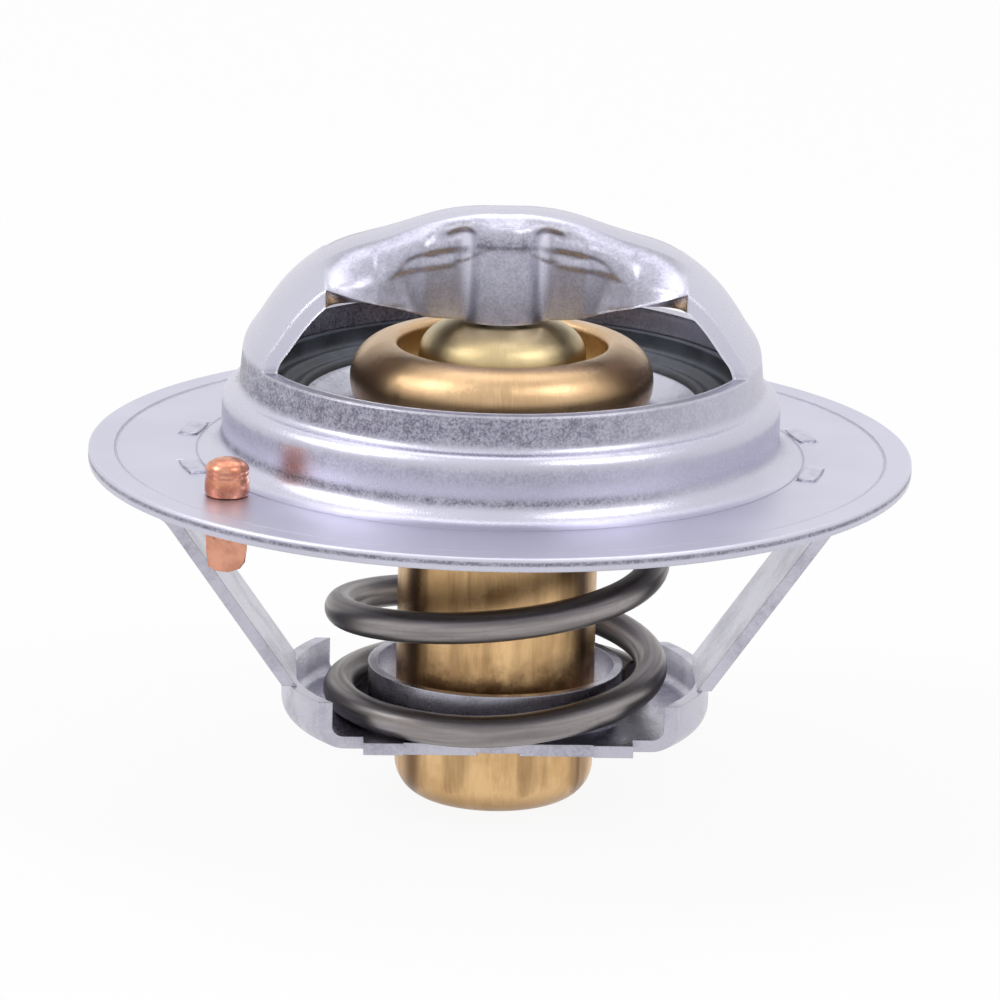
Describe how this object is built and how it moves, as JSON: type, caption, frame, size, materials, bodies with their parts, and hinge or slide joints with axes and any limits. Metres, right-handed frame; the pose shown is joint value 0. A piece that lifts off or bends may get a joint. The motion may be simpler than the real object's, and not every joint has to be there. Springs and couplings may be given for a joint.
{
  "type": "engine thermostat",
  "caption": "Engine coolant thermostat: round steel flange with a domed bridge, brass wax capsule on a sprung valve plate, lower bridge on two legs and a loose air-bleed pin.",
  "frame": {"origin": "on the valve's axis, at the upper face of the flange", "axes": "+Z along the valve's axis towards the bridge; X along the bridge and through the two legs"},
  "size_m": [0.054, 0.054, 0.0397],
  "materials": {
    "frame_steel": "bright stamped stainless",
    "bridge_steel": "satin stamped stainless",
    "piston_steel": "ground",
    "spring_steel": "dull drawn wire",
    "capsule_brass": "drawn, slightly stained",
    "guide_brass": "turned",
    "ring_plastic": "plain",
    "boot_rubber": "moulded",
    "wax": "waxy",
    "valve_steel": "bright stamped stainless",
    "seal_rubber": "moulded",
    "pin_copper": "plain copper"
  },
  "bodies": {
    "frame": {"top_frame": "frame_steel", "lower_bridge": "bridge_steel", "piston": "piston_steel", "return_spring": "spring_steel"},
    "valve": {"capsule_cup": "capsule_brass", "capsule_guide": "guide_brass", "backup_ring": "ring_plastic", "rubber_boot": "boot_rubber", "wax_charge": "wax", "valve_plate": "valve_steel", "valve_seal": "seal_rubber"},
    "bleed_pin": {"jiggle_pin": "pin_copper"}
  },
  "joints": [
    {"name": "valve_lift", "type": "slide", "parent": "frame", "child": "valve", "axis": [0, 0, -1], "range_m": [0, 0.008], "stiffness_N_per_m": 8950, "springref_m": -0.0005, "deforming": ["return_spring"]},
    {"name": "jiggle", "type": "slide", "parent": "frame", "child": "bleed_pin", "axis": [0, 0, 1], "range_m": [0, 0.001]}
  ]
}
